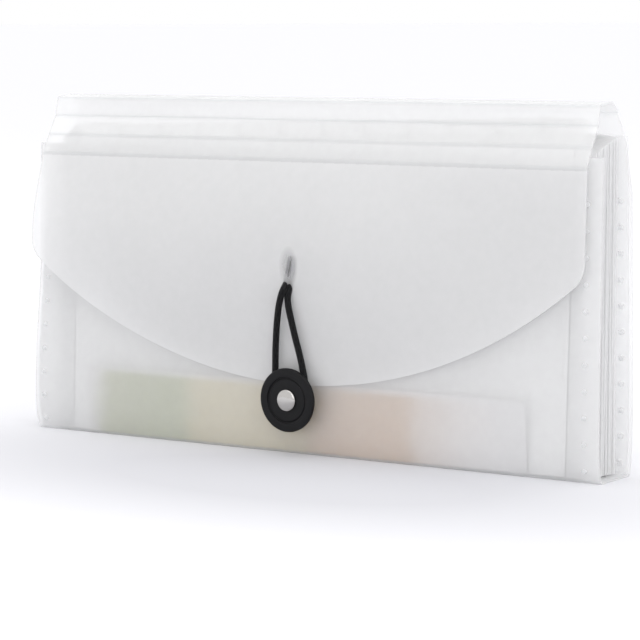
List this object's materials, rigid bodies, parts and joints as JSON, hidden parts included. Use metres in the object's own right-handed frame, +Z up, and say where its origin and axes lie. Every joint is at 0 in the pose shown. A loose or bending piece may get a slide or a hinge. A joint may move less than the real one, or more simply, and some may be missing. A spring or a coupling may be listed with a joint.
{
  "type": "expanding file folder",
  "caption": "Slim expanding file of frosted translucent sheet, with pleated pockets, a creased wrap-over flap and an elastic loop that hooks behind a riveted disc.",
  "frame": {"origin": "middle of the bottom panel's underside, with the folder standing as in use", "axes": "+X along the folder's width, to the right seen from the front; -Y out of the front, where the flap and disc are; +Z up"},
  "size_m": [0.266, 0.0368, 0.1389],
  "materials": {
    "cover_sheet": "frosted, translucent, fine haze",
    "divider_sheet": "frosted, translucent",
    "pleat_film": "frosted, translucent film",
    "button_plastic": "moulded, semi-gloss black",
    "rivet_metal": "polished nickel-coloured plate",
    "crimp_metal": "rolled bright metal",
    "elastic_cord": "braided over an elastic core",
    "card_stock": "matt, printed in plain colour blocks"
  },
  "bodies": {
    "housing": {"back_panel": "cover_sheet", "bottom_panel": "cover_sheet", "left_gusset": "pleat_film", "right_gusset": "pleat_film"},
    "strip_1": {"top_strip_1": "cover_sheet"},
    "strip_2": {"top_strip_2": "cover_sheet"},
    "strip_3": {"top_strip_3": "cover_sheet"},
    "strip_4": {"top_strip_4": "cover_sheet"},
    "strip_5": {"top_strip_5": "cover_sheet"},
    "flap": {"flap_panel": "cover_sheet", "elastic_loop": "elastic_cord", "cord_ferrule": "crimp_metal"},
    "front": {"front_panel": "cover_sheet", "button_rivet": "rivet_metal", "rivet_washer": "rivet_metal", "label_card": "card_stock"},
    "leaf_01": {"divider_01": "divider_sheet"},
    "leaf_02": {"divider_02": "divider_sheet"},
    "leaf_03": {"divider_03": "divider_sheet"},
    "leaf_04": {"divider_04": "divider_sheet"},
    "leaf_05": {"divider_05": "divider_sheet"},
    "leaf_06": {"divider_06": "divider_sheet"},
    "leaf_07": {"divider_07": "divider_sheet"},
    "leaf_08": {"divider_08": "divider_sheet"},
    "leaf_09": {"divider_09": "divider_sheet"},
    "leaf_10": {"divider_10": "divider_sheet"},
    "leaf_11": {"divider_11": "divider_sheet"},
    "leaf_12": {"divider_12": "divider_sheet"},
    "button": {"button_disc": "button_plastic"}
  },
  "joints": [
    {"name": "back_edge_crease", "type": "hinge", "parent": "housing", "child": "strip_1", "pos_m": [0, 0.0107, 0.13466], "axis": [-1, 0, 0], "range_deg": [0, 68.7]},
    {"name": "top_middle_crease", "type": "hinge", "parent": "strip_1", "child": "strip_2", "pos_m": [0, 0.00617, 0.13864], "axis": [-1, 0, 0], "range_deg": [0, 67.6]},
    {"name": "flap_open", "type": "hinge", "parent": "strip_2", "child": "strip_3", "pos_m": [0, -0.00278, 0.13766], "axis": [-1, 0, 0], "range_deg": [0, 135.8], "deforming": ["elastic_loop"]},
    {"name": "depth_crease_1", "type": "hinge", "parent": "strip_3", "child": "strip_4", "pos_m": [0, -0.00435, 0.13019], "axis": [-1, 0, 0], "range_deg": [0, 4.7]},
    {"name": "depth_crease_2", "type": "hinge", "parent": "strip_4", "child": "strip_5", "pos_m": [0, -0.00896, 0.12259], "axis": [-1, 0, 0], "range_deg": [0, 29.1]},
    {"name": "depth_crease_3", "type": "hinge", "parent": "strip_5", "child": "flap", "pos_m": [0, -0.01264, 0.11503], "axis": [-1, 0, 0], "range_deg": [0, 29.1]},
    {"name": "front_fan", "type": "hinge", "parent": "housing", "child": "front", "pos_m": [0, -0.0107, 0.0003], "axis": [1, 0, 0], "range_deg": [0, 24], "deforming": ["left_gusset", "right_gusset"]},
    {"name": "leaf_01_fan", "type": "hinge", "parent": "housing", "child": "leaf_01", "pos_m": [0, 0.0088, 0.0009], "axis": [1, 0, 0], "range_deg": [0, 1.85]},
    {"name": "leaf_02_fan", "type": "hinge", "parent": "housing", "child": "leaf_02", "pos_m": [0, 0.0072, 0.0009], "axis": [1, 0, 0], "range_deg": [0, 3.7]},
    {"name": "leaf_03_fan", "type": "hinge", "parent": "housing", "child": "leaf_03", "pos_m": [0, 0.0056, 0.0009], "axis": [1, 0, 0], "range_deg": [0, 5.55]},
    {"name": "leaf_04_fan", "type": "hinge", "parent": "housing", "child": "leaf_04", "pos_m": [0, 0.004, 0.0009], "axis": [1, 0, 0], "range_deg": [0, 7.39]},
    {"name": "leaf_05_fan", "type": "hinge", "parent": "housing", "child": "leaf_05", "pos_m": [0, 0.0024, 0.0009], "axis": [1, 0, 0], "range_deg": [0, 9.24]},
    {"name": "leaf_06_fan", "type": "hinge", "parent": "housing", "child": "leaf_06", "pos_m": [0, 0.0008, 0.0009], "axis": [1, 0, 0], "range_deg": [0, 11.09]},
    {"name": "leaf_07_fan", "type": "hinge", "parent": "housing", "child": "leaf_07", "pos_m": [0, -0.0008, 0.0009], "axis": [1, 0, 0], "range_deg": [0, 12.93]},
    {"name": "leaf_08_fan", "type": "hinge", "parent": "housing", "child": "leaf_08", "pos_m": [0, -0.0024, 0.0009], "axis": [1, 0, 0], "range_deg": [0, 14.78]},
    {"name": "leaf_09_fan", "type": "hinge", "parent": "housing", "child": "leaf_09", "pos_m": [0, -0.004, 0.0009], "axis": [1, 0, 0], "range_deg": [0, 16.63]},
    {"name": "leaf_10_fan", "type": "hinge", "parent": "housing", "child": "leaf_10", "pos_m": [0, -0.0056, 0.0009], "axis": [1, 0, 0], "range_deg": [0, 18.46]},
    {"name": "leaf_11_fan", "type": "hinge", "parent": "housing", "child": "leaf_11", "pos_m": [0, -0.0072, 0.0009], "axis": [1, 0, 0], "range_deg": [0, 20.31]},
    {"name": "leaf_12_fan", "type": "hinge", "parent": "housing", "child": "leaf_12", "pos_m": [0, -0.0088, 0.0009], "axis": [1, 0, 0], "range_deg": [0, 22.15]},
    {"name": "button_spin", "type": "hinge", "parent": "front", "child": "button", "pos_m": [0, -0.02133, 0.0224], "axis": [0, -1, 0], "continuous": true}
  ],
  "couplings": [
    {"joint": "front_fan", "follows": "flap_open", "ratio": 0.1767},
    {"joint": "leaf_01_fan", "follows": "flap_open", "ratio": 0.0136},
    {"joint": "leaf_02_fan", "follows": "flap_open", "ratio": 0.0272},
    {"joint": "leaf_03_fan", "follows": "flap_open", "ratio": 0.0408},
    {"joint": "leaf_04_fan", "follows": "flap_open", "ratio": 0.0544},
    {"joint": "leaf_05_fan", "follows": "flap_open", "ratio": 0.068},
    {"joint": "leaf_06_fan", "follows": "flap_open", "ratio": 0.0816},
    {"joint": "leaf_07_fan", "follows": "flap_open", "ratio": 0.0952},
    {"joint": "leaf_08_fan", "follows": "flap_open", "ratio": 0.1088},
    {"joint": "leaf_09_fan", "follows": "flap_open", "ratio": 0.1224},
    {"joint": "leaf_10_fan", "follows": "flap_open", "ratio": 0.1359},
    {"joint": "leaf_11_fan", "follows": "flap_open", "ratio": 0.1495},
    {"joint": "leaf_12_fan", "follows": "flap_open", "ratio": 0.1631}
  ]
}
